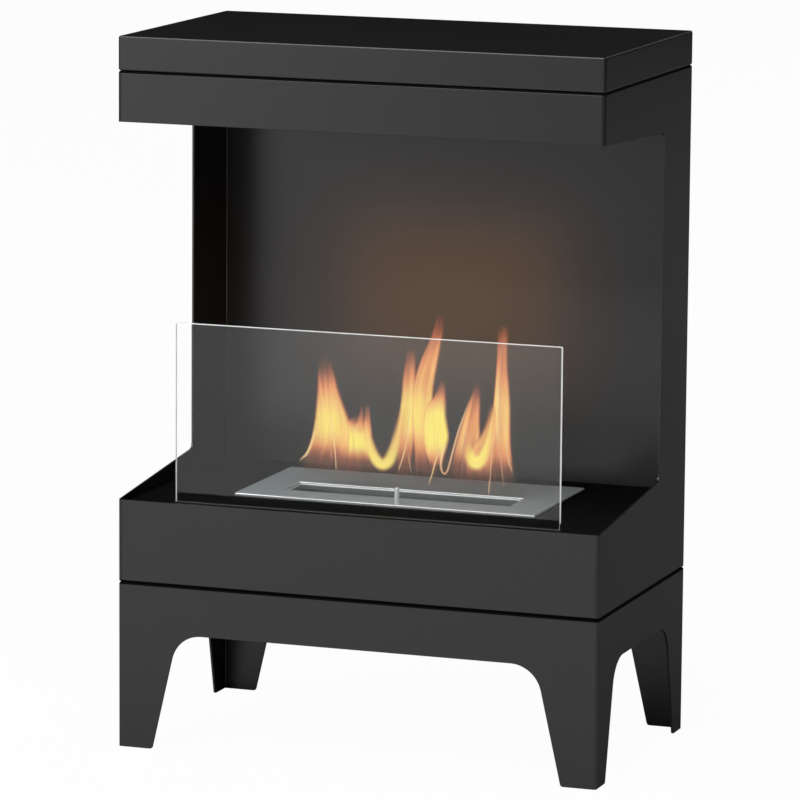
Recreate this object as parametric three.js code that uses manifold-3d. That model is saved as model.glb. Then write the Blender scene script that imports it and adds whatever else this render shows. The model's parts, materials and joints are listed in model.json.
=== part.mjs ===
import * as THREE from "three";
import { mergeVertices } from "three/addons/utils/BufferGeometryUtils.js";
import Module from "manifold-3d";

// A free-standing bioethanol fireplace: folded steel legs, an open-fronted casing, a lid, a glass
// pane and a drop-in burner with a sliding cover. Millimetres, +Z up, the front faces -Y, and the
// origin is on the floor under the middle of the casing.

const wasm = await Module();
wasm.setup();

// Casing
const WIDTH = 500;
const DEPTH = 285;
const SHEET = 2; // steel sheet of the casing, the lid and the legs
const CORNER_R = 3; // outer radius of the upright bends
const FOLD_R = 2; // outer radius of the folds along the seams
const SEAT_GAP = 0.3; // gap between pieces that stand on or in each other
const BASE_H = 83; // lower seam to the front rim
const WINDOW_H = 376; // front rim to the hood
const HOOD_H = 50; // hood's lower edge to the upper seam
const WINDOW_DEPTH = 194; // how far the opening runs back along both sides
const BASE_RISE = 20; // the base's side edges climb this much towards the back
const HOOD_DROP = 8.5; // and the hood's side edges come down this much
const WINDOW_R = 7;

// Lid
const LID_H = 34;
const LID_FLANGE = 22; // inturned flange that the lid stands on

// Legs
const LEG_H = 167;
const ARCH_H = 118;
const ARCH_R = 32;
const LEG_FLARE = 0.229; // how much a leg widens for each millimetre of height
const FOOT_FRONT_W = 36;
const FOOT_SIDE_W = 29.5;
const FOOT_R = 3;
const LEG_FLANGE = 26; // top flange that the casing is bolted to

// Tray floor
const TRAY_DROP = 4; // from the front rim down to the floor
const RAIL_W = 14; // both legs of the angle rails under the floor
const CUTOUT_GAP = 1; // between the burner tank and the cut-out that it hangs in

// Glass
const GLASS_W = 401;
const GLASS_H = 180; // above the tray floor
const GLASS_T = 4;
const GLASS_SETBACK = 28.5; // front of the casing to the front of the glass
const GLASS_SUNK = 10; // below the top of the tray floor
const GLASS_SIDE_GAP = 0.5;
const CHANNEL_SHEET = 1.2;
const STRIP_T = 2;

// Burner
const BURNER_SHEET = 1.2;
const COVER_W = 318;
const COVER_D = 158;
const COVER_SETBACK = 81; // front of the casing to the front of the open cover
const COVER_SHEET = 1.5;
const COVER_R = 1.5;
const SLOT_W = 240;
const SLOT_D = 47.5;
const SLOT_SETBACK = 35.5; // front edge of the cover to its slot
const SLOT_OVERLAP = 1.5; // what the closed cover still laps over the tank's mouth
const MOUTH_INSET = 3; // the mouth is this much shorter than the slot at each end
const MOUTH_SETBACK = 0.5; // the mouth's back edge in front of the open slot's
const MOUTH_LIP_H = 5;
const DECK_LAP = 6; // what the deck rests on around the tank
const TANK_H = 58;
const PEG_D = 5;
const PEG_H = 16.5;
const PEG_X = 13;
const PEG_SETBACK = 4; // front edge of the cover to the peg's axis
const WOOL_H = 32;
const WOOL_GAP = 1;
const MESH_T = 1;
const MESH_SLOTS = 12;
const MESH_ROWS = 3;
const MESH_SLOT_W = 14;
const MESH_SLOT_D = 5;

// Heat shield
const SHIELD_SHEET = 1.5;
const SHIELD_MARGIN = 14; // to the casing, all round
const SPACER_H = 16;
const SPACER_D = 12;
const SHIELD_SCREW_INSET = 55; // from the shield's edges

// Fasteners
const BOLT_D = 6;
const BOLT_FLATS = 10;
const BOLT_HEAD_H = 4;
const NUT_H = 5;
const BOLT_END = 1.5; // what a bolt stands out of its nut
const BOLT_INSET = 14; // from the casing's sides to a corner bolt
const HOLE_GAP = 0.4; // between a shank and its hole
const THREAD_GAP = 0.15; // between a shank and its nut

const BODY_H = BASE_H + WINDOW_H + HOOD_H;
const FRONT = -DEPTH / 2;
const BODY_Z = LEG_H + SEAT_GAP;
const LID_Z = BODY_Z + BODY_H + SEAT_GAP;
const TRAY_Z = BASE_H - TRAY_DROP; // above the casing's own base
const COVER_TRAVEL = SLOT_D - SLOT_OVERLAP;
const DECK_TOP = BURNER_SHEET + SEAT_GAP; // above the tray floor, as all of the burner
const COVER_H = DECK_TOP + SEAT_GAP + COVER_SHEET;
const FAR = 2 * (WIDTH + DEPTH + BODY_H);

// Geometry helpers

const X = new THREE.Vector3(1, 0, 0);
const Y = new THREE.Vector3(0, 1, 0);
const Z = new THREE.Vector3(0, 0, 1);
const TURN = {
  x: new THREE.Matrix4().makeBasis(Y, Z, X), // outline in y and z, drawn out along x
  y: new THREE.Matrix4().makeBasis(X, Z, Y.clone().negate()), // outline in x and z
  z: new THREE.Matrix4(),
};

function solid(geometry) {
  const bare = new THREE.BufferGeometry();
  bare.setAttribute("position", geometry.getAttribute("position"));
  bare.setIndex(geometry.index);
  const { attributes, index } = mergeVertices(bare, 1e-4);
  const mesh = { numProp: 3, vertProperties: attributes.position.array, triVerts: index.array };
  return new wasm.Manifold(new wasm.Mesh(mesh));
}

// A closed outline through corners [x, y, radius], with an arc at each corner that has a radius.
function outline(corners) {
  const shape = new THREE.Shape();
  corners.forEach(([x, y, radius = 0], i) => {
    const here = new THREE.Vector2(x, y);
    const [before, after] = [corners.at(i - 1), corners[(i + 1) % corners.length]].map(([u, v]) =>
      new THREE.Vector2(u, v).sub(here).normalize(),
    );
    const half = before.angleTo(after) / 2;
    const centre = before.clone().add(after).setLength(radius / Math.sin(half)).add(here);
    const [start, end] = [before, after].map((way) =>
      way.clone().multiplyScalar(radius / Math.tan(half)).add(here),
    );
    if (i === 0) {
      shape.moveTo(start.x, start.y);
    } else {
      shape.lineTo(start.x, start.y);
    }
    if (radius > 0) {
      const [from, to] = [start.sub(centre).angle(), end.sub(centre).angle()];
      shape.absarc(centre.x, centre.y, radius, from, to, before.cross(after) > 0);
    }
  });
  return shape;
}

function rectangle(width, depth, radius = 0, x = 0, y = 0) {
  const r = Math.max(0, radius);
  const [u, v] = [width / 2, depth / 2];
  return outline([[x - u, y - v, r], [x + u, y - v, r], [x + u, y + v, r], [x - u, y + v, r]]);
}

// An outline drawn out along one axis, from one coordinate to another.
function prism(shape, axis, from, to, curveSegments = 4) {
  const geometry = new THREE.ExtrudeGeometry(shape, {
    depth: to - from,
    bevelEnabled: false,
    curveSegments,
  });
  geometry.applyMatrix4(TURN[axis]);
  const start = { x: [from, 0, 0], y: [0, to, 0], z: [0, 0, from] }[axis];
  return solid(geometry.translate(...start));
}

function box([x0, x1], [y0, y1], [z0, z1]) {
  const geometry = new THREE.BoxGeometry(x1 - x0, y1 - y0, z1 - z0);
  return solid(geometry.translate((x0 + x1) / 2, (y0 + y1) / 2, (z0 + z1) / 2));
}

function cylinder(diameter, z0, z1, x = 0, y = 0, sides = 16) {
  const geometry = new THREE.CylinderGeometry(diameter / 2, diameter / 2, z1 - z0, sides);
  return solid(geometry.rotateX(Math.PI / 2).translate(x, y, (z0 + z1) / 2));
}

// A block with rounded upright edges, and folds of the given radius round its top and bottom.
function foldedBlock(width, depth, z0, z1, cornerR, foldR) {
  const fold = Math.min(foldR, cornerR * 0.8);
  const geometry = new THREE.ExtrudeGeometry(rectangle(width, depth, cornerR), {
    depth: z1 - z0 - 2 * fold,
    bevelThickness: fold,
    bevelSize: fold,
    bevelOffset: -fold,
    bevelSegments: 4,
    curveSegments: 3,
  });
  return solid(geometry.translate(0, 0, z0 + fold));
}

// A block with the casing's outline and folds.
function casingBlock(z0, z1) {
  return foldedBlock(WIDTH, DEPTH, z0, z1, CORNER_R, FOLD_R);
}

// The space inside the casing's walls.
function casingRoom(z0, z1) {
  const inside = rectangle(WIDTH - 2 * SHEET, DEPTH - 2 * SHEET, CORNER_R - SHEET);
  return prism(inside, "z", z0, z1, 3);
}

function slab(block, z0, z1) {
  return block.intersect(box([-FAR, FAR], [-FAR, FAR], [z0, z1]));
}

function cutHoles(plate, places, diameter, z0, z1) {
  return places.reduce(
    (left, [x, y]) => left.subtract(cylinder(diameter, z0 - 1, z1 + 1, x, y)),
    plate,
  );
}

// The four panels between two heights of a block, cut apart where the upright bends end.
function splitWalls(block, z0, z1) {
  const bend = WIDTH / 2 - CORNER_R;
  const tube = block.subtract(casingRoom(-FAR, FAR));
  const part = (xs, ys) => tube.intersect(box(xs, ys, [z0, z1]));
  return {
    left: part([-FAR, -bend], [-FAR, FAR]),
    right: part([bend, FAR], [-FAR, FAR]),
    front: part([-bend, bend], [-FAR, 0]),
    back: part([-bend, bend], [0, FAR]),
  };
}

// Four places round the middle, named for the corner that each is in.
function corners(dx, dy) {
  return {
    front_left: [-dx, -dy],
    front_right: [dx, -dy],
    back_left: [-dx, dy],
    back_right: [dx, dy],
  };
}

// Materials

function paintedSteel() {
  return new THREE.MeshStandardMaterial({ color: 0x2b2b2c, roughness: 0.55, metalness: 0.1 });
}

function brushedSteel() {
  return new THREE.MeshStandardMaterial({ color: 0xa8aaab, roughness: 0.32, metalness: 1 });
}

function zincSteel() {
  return new THREE.MeshStandardMaterial({ color: 0x8f9296, roughness: 0.45, metalness: 0.9 });
}

function clearGlass() {
  return new THREE.MeshStandardMaterial({
    color: 0xdfe8e4,
    roughness: 0.03,
    metalness: 0,
    transparent: true,
    opacity: 0.3,
  });
}

function darkRubber() {
  return new THREE.MeshStandardMaterial({ color: 0x1a1a1a, roughness: 0.85, metalness: 0 });
}

function ceramicFibre() {
  return new THREE.MeshStandardMaterial({ color: 0xe9e6dd, roughness: 0.95, metalness: 0 });
}

function named(name, body, material) {
  const { vertProperties, triVerts } = body.getMesh();
  const geometry = new THREE.BufferGeometry();
  geometry.setAttribute("position", new THREE.BufferAttribute(vertProperties, 3));
  geometry.setIndex(new THREE.BufferAttribute(triVerts, 1));
  geometry.computeVertexNormals();
  const mesh = new THREE.Mesh(geometry, material);
  mesh.name = name;
  return mesh;
}

function group(z, ...children) {
  const made = new THREE.Group();
  made.position.z = z;
  made.add(...children);
  return made;
}

// Fasteners, each standing on z = 0 with its shank along z

function hexagon() {
  const radius = BOLT_FLATS / Math.sqrt(3);
  return outline(
    [0, 1, 2, 3, 4, 5].map((i) => [
      radius * Math.cos((i * Math.PI) / 3),
      radius * Math.sin((i * Math.PI) / 3),
    ]),
  );
}

// A bolt with its head below, whose shank goes up through the grip and a nut.
function bolt(grip) {
  const head = prism(hexagon(), "z", -BOLT_HEAD_H, 0);
  return head.add(cylinder(BOLT_D, -BOLT_HEAD_H / 2, grip + NUT_H + BOLT_END, 0, 0, 12));
}

function nut() {
  const bore = cylinder(BOLT_D + 2 * THREAD_GAP, -1, NUT_H + 1, 0, 0, 12);
  return prism(hexagon(), "z", 0, NUT_H).subtract(bore);
}

// A bolt and nut at each place, clamping from one height to another.
function boltSet(name, places, z0, z1) {
  return Object.entries(places).flatMap(([corner, [x, y]]) => {
    const screw = named(`${name}_bolt_${corner}`, bolt(z1 - z0 + 2 * SEAT_GAP), zincSteel());
    const top = named(`${name}_nut_${corner}`, nut(), zincSteel());
    screw.position.set(x, y, z0 - SEAT_GAP);
    top.position.set(x, y, z1 + SEAT_GAP);
    return [screw, top];
  });
}

const CORNER_BOLTS = corners(WIDTH / 2 - BOLT_INSET, DEPTH / 2 - BOLT_INSET);
const BOLT_HOLE = BOLT_D + 2 * HOLE_GAP;

// Legs: a folded skirt with an arch in each side, under a flat top flange

function archOutline(halfSpan, footWidth) {
  const foot = halfSpan - footWidth;
  const crown = foot - LEG_FLARE * ARCH_H;
  const clear = FOOT_R + footWidth / 3;
  return outline([
    [foot + clear, -FOOT_R],
    [foot + clear, 0],
    [foot, 0, FOOT_R],
    [crown, ARCH_H, ARCH_R],
    [-crown, ARCH_H, ARCH_R],
    [-foot, 0, FOOT_R],
    [-foot - clear, 0],
    [-foot - clear, -FOOT_R],
  ]);
}

function makeLegs() {
  const top = LEG_H - SHEET;
  const mouth = rectangle(WIDTH - 2 * LEG_FLANGE, DEPTH - 2 * LEG_FLANGE, ARCH_R / 2);
  const block = casingBlock(-LEG_H, LEG_H);
  const arched = block
    .subtract(prism(archOutline(WIDTH / 2, FOOT_FRONT_W), "y", -FAR, FAR, 6))
    .subtract(prism(archOutline(DEPTH / 2, FOOT_SIDE_W), "x", -FAR, FAR, 6));
  const walls = splitWalls(arched, 0, top);
  const frame = slab(block, top, FAR).subtract(prism(mouth, "z", top - 1, LEG_H + 1));
  return group(
    0,
    named("leg_panel_left", walls.left, paintedSteel()),
    named("leg_panel_right", walls.right, paintedSteel()),
    named("leg_panel_front", walls.front, paintedSteel()),
    named("leg_panel_back", walls.back, paintedSteel()),
    named(
      "leg_top_frame",
      cutHoles(frame, Object.values(CORNER_BOLTS), BOLT_HOLE, top, LEG_H),
      paintedSteel(),
    ),
    ...boltSet("leg", CORNER_BOLTS, top, BODY_Z + SHEET),
  );
}

// Casing: a folded shell whose front and sides are open between the base and the hood

function windowOutline() {
  const back = FRONT + WINDOW_DEPTH;
  const [rim, hood] = [BASE_H, BASE_H + WINDOW_H];
  const slope = (rise) => (-rise / WINDOW_DEPTH) * SHEET; // carries the slant on past the front
  return outline([
    [FRONT - SHEET, rim + slope(BASE_RISE)],
    [back, rim + BASE_RISE, WINDOW_R],
    [back, hood - HOOD_DROP, WINDOW_R],
    [FRONT - SHEET, hood - slope(HOOD_DROP)],
  ]);
}

const SHIELD_W = WIDTH - 2 * (SHEET + SHIELD_MARGIN);
const SHIELD_D = DEPTH - 2 * (SHEET + SHIELD_MARGIN);
const SHIELD_SCREWS = corners(
  SHIELD_W / 2 - SHIELD_SCREW_INSET,
  SHIELD_D / 2 - SHIELD_SCREW_INSET,
);

function makeCasing() {
  const block = casingBlock(0, BODY_H);
  const open = block.subtract(prism(windowOutline(), "x", -FAR, FAR, 4));
  const walls = splitWalls(open, SHEET, BODY_H - SHEET);
  const middle = BASE_H + WINDOW_H / 2;
  const bolts = Object.values(CORNER_BOLTS);
  const topHoles = [...bolts, ...Object.values(SHIELD_SCREWS)];
  const top = cutHoles(slab(block, BODY_H - SHEET, FAR), topHoles, BOLT_HOLE, BODY_H - SHEET, BODY_H);
  const bottom = cutHoles(slab(block, -FAR, SHEET), bolts, BOLT_HOLE, 0, SHEET);
  return [
    named("side_panel_left", walls.left, paintedSteel()),
    named("side_panel_right", walls.right, paintedSteel()),
    named("hood_front_panel", slab(walls.front, middle, FAR), paintedSteel()),
    named("base_front_panel", slab(walls.front, -FAR, middle), paintedSteel()),
    named("back_panel", walls.back, paintedSteel()),
    named("casing_top_plate", top, paintedSteel()),
    named("casing_bottom_plate", bottom, paintedSteel()),
  ];
}

// Lid: a hollow cap with an inturned flange, bolted down on the casing's top plate

function makeLid() {
  const mouth = rectangle(WIDTH - 2 * LID_FLANGE, DEPTH - 2 * LID_FLANGE, WINDOW_R);
  const cap = casingBlock(0, LID_H)
    .subtract(casingRoom(SHEET, LID_H - SHEET))
    .subtract(prism(mouth, "z", -1, SHEET + 1));
  return group(
    LID_Z,
    named(
      "lid",
      cutHoles(cap, Object.values(CORNER_BOLTS), BOLT_HOLE, 0, SHEET),
      paintedSteel(),
    ),
    ...boltSet("lid", CORNER_BOLTS, -SEAT_GAP - SHEET, SHEET),
  );
}

// Heat shield: a plate hung under the casing's top plate on four spacers

function makeHeatShield() {
  const top = BODY_H - SHEET - SPACER_H - 2 * SEAT_GAP;
  const low = top - SHIELD_SHEET;
  const plate = prism(rectangle(SHIELD_W, SHIELD_D), "z", low, top);
  const spacers = Object.entries(SHIELD_SCREWS).map(([corner, [x, y]]) => {
    const tube = cylinder(SPACER_D, 0, SPACER_H).subtract(cylinder(BOLT_HOLE, -1, SPACER_H + 1));
    const mesh = named(`shield_spacer_${corner}`, tube, zincSteel());
    mesh.position.set(x, y, top + SEAT_GAP);
    return mesh;
  });
  return [
    named(
      "heat_shield",
      cutHoles(plate, Object.values(SHIELD_SCREWS), BOLT_HOLE, low, top),
      brushedSteel(),
    ),
    ...spacers,
    ...boltSet("shield", SHIELD_SCREWS, low, BODY_H),
  ];
}

// Burner

const COVER_Y = FRONT + COVER_SETBACK + COVER_D / 2;
const SLOT_Y = FRONT + COVER_SETBACK + SLOT_SETBACK + SLOT_D / 2;
const DECK_W = COVER_W - 2 * (COVER_SHEET + SEAT_GAP);
const DECK_D = COVER_D - 2 * (COVER_SHEET + SEAT_GAP) - COVER_TRAVEL;
const DECK_Y = FRONT + COVER_SETBACK + COVER_SHEET + SEAT_GAP + DECK_D / 2;
const TANK_W = DECK_W - 2 * DECK_LAP;
const TANK_D = DECK_D - 2 * DECK_LAP;
const MOUTH_W = SLOT_W - 2 * MOUTH_INSET;
const MOUTH_D = COVER_TRAVEL - SLOT_OVERLAP - MOUTH_SETBACK;
const MOUTH_Y = SLOT_Y + SLOT_D / 2 - MOUTH_SETBACK - MOUTH_D / 2;

// A tray of burner sheet, open at the top.
function makeTank() {
  const top = DECK_TOP - BURNER_SHEET - SEAT_GAP;
  const wall = 2 * BURNER_SHEET;
  const outer = prism(rectangle(TANK_W, TANK_D, COVER_R * 2, 0, DECK_Y), "z", -TANK_H, top);
  const room = rectangle(TANK_W - wall, TANK_D - wall, COVER_R, 0, DECK_Y);
  return outer.subtract(prism(room, "z", BURNER_SHEET - TANK_H, top + 1));
}

// The plate that closes the tank and hangs it on the tray floor, with a lipped mouth.
function makeDeck() {
  const low = DECK_TOP - BURNER_SHEET;
  const plate = prism(rectangle(DECK_W, DECK_D, COVER_R, 0, DECK_Y), "z", low, DECK_TOP);
  const rim = 2 * BURNER_SHEET;
  const lip = rectangle(MOUTH_W + rim, MOUTH_D + rim, COVER_R, 0, MOUTH_Y);
  const mouth = rectangle(MOUTH_W, MOUTH_D, COVER_R / 2, 0, MOUTH_Y);
  return plate
    .add(prism(lip, "z", DECK_TOP - MOUTH_LIP_H, DECK_TOP))
    .subtract(prism(mouth, "z", -TANK_H, DECK_TOP + 1));
}

// The sliding cover: a folded plate with its edges turned down, and a slot for the flames.
function makeCover() {
  const drop = 2 * COVER_SHEET;
  const room = rectangle(COVER_W - drop, COVER_D - drop);
  const slot = rectangle(SLOT_W, SLOT_D, COVER_R / 2, 0, SLOT_Y - COVER_Y);
  return foldedBlock(COVER_W, COVER_D, -COVER_H, COVER_H, COVER_R * 2, COVER_R)
    .subtract(box([-FAR, FAR], [-FAR, FAR], [-FAR, SEAT_GAP]))
    .subtract(prism(room, "z", 0, COVER_H - COVER_SHEET))
    .subtract(prism(slot, "z", 0, COVER_H + 1))
    .translate(0, COVER_Y, 0);
}

function makePeg() {
  const foot = COVER_H + SEAT_GAP;
  const edge = PEG_D / 10; // rounding of the peg's top
  const profile = [
    [0, foot],
    [PEG_D / 2, foot],
    [PEG_D / 2, foot + PEG_H - edge],
    [PEG_D / 2 - edge, foot + PEG_H],
    [0, foot + PEG_H],
  ].map(([r, z]) => new THREE.Vector2(r, z));
  const turned = new THREE.LatheGeometry(profile, 20).rotateX(Math.PI / 2);
  return solid(turned).translate(PEG_X, FRONT + COVER_SETBACK + PEG_SETBACK, 0);
}

function makeWool() {
  const slack = 2 * (BURNER_SHEET + WOOL_GAP);
  const low = BURNER_SHEET - TANK_H + SEAT_GAP;
  const pad = rectangle(TANK_W - slack, TANK_D - slack, COVER_R, 0, DECK_Y);
  return prism(pad, "z", low, low + WOOL_H);
}

// A slotted sheet that holds the wool down.
function makeWoolMesh() {
  const low = BURNER_SHEET - TANK_H + WOOL_H + 2 * SEAT_GAP;
  const slack = 2 * (BURNER_SHEET + SEAT_GAP);
  const [width, depth] = [TANK_W - slack, TANK_D - slack];
  let plate = prism(rectangle(width, depth, COVER_R, 0, DECK_Y), "z", low, low + MESH_T);
  for (let i = 0; i < MESH_SLOTS; i++) {
    for (let j = 0; j < MESH_ROWS; j++) {
      const x = ((i + 0.5) / MESH_SLOTS - 0.5) * width;
      const y = DECK_Y + ((j + 0.5) / MESH_ROWS - 0.5) * depth;
      const slot = rectangle(MESH_SLOT_W, MESH_SLOT_D, 0, x, y);
      plate = plate.subtract(prism(slot, "z", low - 1, low + MESH_T + 1));
    }
  }
  return plate;
}

function makeBurner() {
  return group(
    TRAY_Z,
    named("burner_tank", makeTank(), brushedSteel()),
    named("burner_deck", makeDeck(), brushedSteel()),
    named("slide_cover", makeCover(), brushedSteel()),
    named("cover_peg", makePeg(), brushedSteel()),
    named("ceramic_wool", makeWool(), ceramicFibre()),
    named("wool_mesh", makeWoolMesh(), brushedSteel()),
  );
}

// Tray floor and the glass that stands in it

const GLASS_Y = FRONT + GLASS_SETBACK + GLASS_T / 2;
const GLASS_SLOT_D = GLASS_T + 2 * GLASS_SIDE_GAP;

function makeTrayFloor() {
  const slack = 2 * (SHEET + SEAT_GAP);
  const plate = prism(rectangle(WIDTH - slack, DEPTH - slack, CORNER_R - SHEET), "z", -SHEET, 0);
  const gap = 2 * CUTOUT_GAP;
  const cutout = rectangle(TANK_W + gap, TANK_D + gap, COVER_R * 2, 0, DECK_Y);
  const slot = rectangle(GLASS_W + 2 * GLASS_SIDE_GAP, GLASS_SLOT_D, 0, 0, GLASS_Y);
  return plate
    .subtract(prism(cutout, "z", -SHEET - 1, 1))
    .subtract(prism(slot, "z", -SHEET - 1, 1));
}

// An angle along one side panel that the tray floor lies on. The side is -1 on the left.
function makeRail(side) {
  const wall = side * (WIDTH / 2 - SHEET - SEAT_GAP);
  const top = -SHEET - SEAT_GAP;
  const inward = (distance) => wall - side * distance;
  const angle = outline([
    [wall, top],
    [wall, top - RAIL_W],
    [inward(SHEET), top - RAIL_W],
    [inward(SHEET), top - SHEET],
    [inward(RAIL_W), top - SHEET],
    [inward(RAIL_W), top],
  ]);
  const half = DEPTH / 2 - CORNER_R - RAIL_W;
  return prism(angle, "y", -half, half);
}

// A channel under the tray floor that the glass stands in.
function makeChannel() {
  const low = -GLASS_SUNK - STRIP_T - 2 * SEAT_GAP;
  const long = GLASS_W + 2 * GLASS_SIDE_GAP;
  const wall = 2 * CHANNEL_SHEET;
  const outer = rectangle(long + wall, GLASS_SLOT_D + wall, 0, 0, GLASS_Y);
  const room = rectangle(long, GLASS_SLOT_D, 0, 0, GLASS_Y);
  return prism(outer, "z", low - CHANNEL_SHEET, -SHEET - SEAT_GAP).subtract(
    prism(room, "z", low, 0),
  );
}

function makeStrip() {
  const strip = rectangle(GLASS_W, GLASS_T, 0, 0, GLASS_Y);
  const low = -GLASS_SUNK - STRIP_T - SEAT_GAP;
  return prism(strip, "z", low, low + STRIP_T);
}

function makePane() {
  const edge = GLASS_T / 8; // arris ground off the pane's long edges
  const [y, half] = [GLASS_Y, GLASS_T / 2];
  const section = outline([
    [y - half + edge, -GLASS_SUNK],
    [y + half - edge, -GLASS_SUNK],
    [y + half, -GLASS_SUNK + edge],
    [y + half, GLASS_H - edge],
    [y + half - edge, GLASS_H],
    [y - half + edge, GLASS_H],
    [y - half, GLASS_H - edge],
    [y - half, -GLASS_SUNK + edge],
  ]);
  return prism(section, "x", -GLASS_W / 2, GLASS_W / 2);
}

function makeTray() {
  return group(
    TRAY_Z,
    named("tray_floor", makeTrayFloor(), paintedSteel()),
    named("tray_rail_left", makeRail(-1), paintedSteel()),
    named("tray_rail_right", makeRail(1), paintedSteel()),
    named("glass_channel", makeChannel(), paintedSteel()),
    named("glass_strip", makeStrip(), darkRubber()),
    named("glass_pane", makePane(), clearGlass()),
  );
}

const fireplace = new THREE.Group();
fireplace.add(
  makeLegs(),
  group(BODY_Z, ...makeCasing(), ...makeHeatShield(), makeTray(), makeBurner()),
  makeLid(),
);

export default fireplace;
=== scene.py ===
import json
import math

import bmesh
import bpy
from mathutils import Matrix, Vector


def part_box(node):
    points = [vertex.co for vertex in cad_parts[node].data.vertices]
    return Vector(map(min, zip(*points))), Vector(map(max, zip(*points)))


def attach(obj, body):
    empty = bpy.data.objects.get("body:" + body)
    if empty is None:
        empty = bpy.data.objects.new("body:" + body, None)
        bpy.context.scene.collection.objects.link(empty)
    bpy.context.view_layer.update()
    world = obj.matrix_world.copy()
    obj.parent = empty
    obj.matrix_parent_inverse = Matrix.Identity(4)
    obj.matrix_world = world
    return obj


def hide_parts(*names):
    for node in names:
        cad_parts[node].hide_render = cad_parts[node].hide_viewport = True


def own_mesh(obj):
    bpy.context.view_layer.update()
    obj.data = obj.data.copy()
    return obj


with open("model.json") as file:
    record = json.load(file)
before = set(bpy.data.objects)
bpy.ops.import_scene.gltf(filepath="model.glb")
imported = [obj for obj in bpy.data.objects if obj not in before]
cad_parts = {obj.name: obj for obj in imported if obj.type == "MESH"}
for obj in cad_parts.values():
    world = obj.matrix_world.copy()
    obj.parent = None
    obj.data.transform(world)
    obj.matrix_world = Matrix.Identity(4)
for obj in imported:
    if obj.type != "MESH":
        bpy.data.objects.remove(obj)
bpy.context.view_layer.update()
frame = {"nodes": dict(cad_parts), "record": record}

nodes = frame["nodes"]
mm = 0.001


# Camera: fitted to the straight edges of the photograph

shot = {
    "target": (-0.00555, 0.0, 0.3436),
    "azimuth": 19.769,
    "elevation": 9.636,
    "roll": 0.461,
    "distance": 5.312,
    "lens": 239.8,
    "sensor": 36.0,
    "reach": 200.0,
}


def aimed(eye, target, roll=0.0):
    back = (Vector(eye) - Vector(target)).normalized()
    right = Vector((0, 0, 1)).cross(back).normalized()
    up = back.cross(right)
    turn = math.radians(roll)
    across = right * math.cos(turn) + up * math.sin(turn)
    upright = up * math.cos(turn) - right * math.sin(turn)
    axes = Matrix((across, upright, back)).transposed().to_4x4()
    return Matrix.Translation(eye) @ axes


def around(azimuth, elevation, distance, target):
    a, e = math.radians(azimuth), math.radians(elevation)
    back = Vector((math.sin(a) * math.cos(e), -math.cos(a) * math.cos(e), math.sin(e)))
    return Vector(target) + back * distance


def makeCamera():
    data = bpy.data.cameras.new("camera")
    data.sensor_width = shot["sensor"]
    data.lens = shot["lens"]
    data.clip_end = shot["reach"]
    camera = newObject("camera", data)
    eye = around(shot["azimuth"], shot["elevation"], shot["distance"], shot["target"])
    camera.matrix_world = aimed(eye, shot["target"], shot["roll"])
    bpy.context.scene.camera = camera


# Small helpers for objects and node trees

def newObject(name, data):
    made = bpy.data.objects.new(name, data)
    bpy.context.scene.collection.objects.link(made)
    return made


def put(tree, kind, place=(0, 0), **settings):
    node = tree.nodes.new(kind)
    node.location = place
    for name, value in settings.items():
        setattr(node, name, value)
    return node


def join(tree, source, target):
    tree.links.new(source, target)


def feed(tree, socket, term):  # the term is another node's output or a fixed value
    if isinstance(term, bpy.types.NodeSocket):
        join(tree, term, socket)
    else:
        socket.default_value = term


def reckon(tree, operation, *terms, place=(0, 0), clamped=False):
    node = put(tree, "ShaderNodeMath", place, operation=operation, use_clamp=clamped)
    for socket, term in zip(node.inputs, terms):
        feed(tree, socket, term)
    return node.outputs[0]


def anyOf(tree, sockets, place):
    total = sockets[0]
    for i, socket in enumerate(sockets[1:]):
        total = reckon(tree, "MAXIMUM", total, socket, place=(place[0] + 180 * i, place[1]))
    return total


def tinted(tree, mask, under, over, place):  # the colour under, and a fixed tone where the mask is 1
    mix = put(tree, "ShaderNodeMix", place, data_type="RGBA")
    factor, first, second = (mix.inputs[i] for i in (0, 6, 7))  # the sockets that mix colours
    join(tree, mask, factor)
    join(tree, under, first)
    second.default_value = (*over, 1)
    return mix.outputs[2]


def blended(tree, share, first, second, place):  # of two shaders
    mix = put(tree, "ShaderNodeMixShader", place)
    for socket, term in zip(mix.inputs, (share, first, second)):
        feed(tree, socket, term)
    return mix.outputs[0]


def ramp(tree, stops, place=(0, 0)):
    node = put(tree, "ShaderNodeValToRGB", place)
    bar = node.color_ramp
    while len(bar.elements) < len(stops):
        bar.elements.new(0.5)
    for element, (position, colour) in zip(bar.elements, stops):
        element.position = position
        element.color = (*colour, 1)
    return node


def newMaterial(name):
    made = bpy.data.materials.new(name)
    made.use_nodes = True
    tree = made.node_tree
    return made, tree, tree.nodes["Principled BSDF"]


def newGroup(name, inputs, outputs):
    tree = bpy.data.node_groups.new(name, "ShaderNodeTree")
    for label, kind, value in inputs:
        socket = tree.interface.new_socket(label, in_out="INPUT", socket_type=kind)
        socket.default_value = value
    for label, kind in outputs:
        tree.interface.new_socket(label, in_out="OUTPUT", socket_type=kind)
    entry = put(tree, "NodeGroupInput", (-900, 0))
    leave = put(tree, "NodeGroupOutput", (700, 0))
    return tree, entry, leave


def placed(tree, group, values, place=(-500, 0)):
    node = put(tree, "ShaderNodeGroup", place)
    node.node_tree = group
    for name, value in values.items():
        node.inputs[name].default_value = value
    return node


def linear(r, g, b):  # from the 0 to 255 that a picture shows
    def curve(v):
        v /= 255
        return v / 12.92 if v <= 0.04045 else ((v + 0.055) / 1.055) ** 2.4
    return (curve(r), curve(g), curve(b))


# Stage: a pale floor, white all round, three soft lamps, and a warm one for the light of the flames

stage = {
    "floorColour": (0.82, 0.82, 0.82),
    "floorSize": 60.0,
    "floorDrop": 0.0003,
    "shadowShare": 0.03,  # how much of the object's shadow the floor shows
    "ambient": 0.014,
    "white": 1.0,
}

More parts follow.
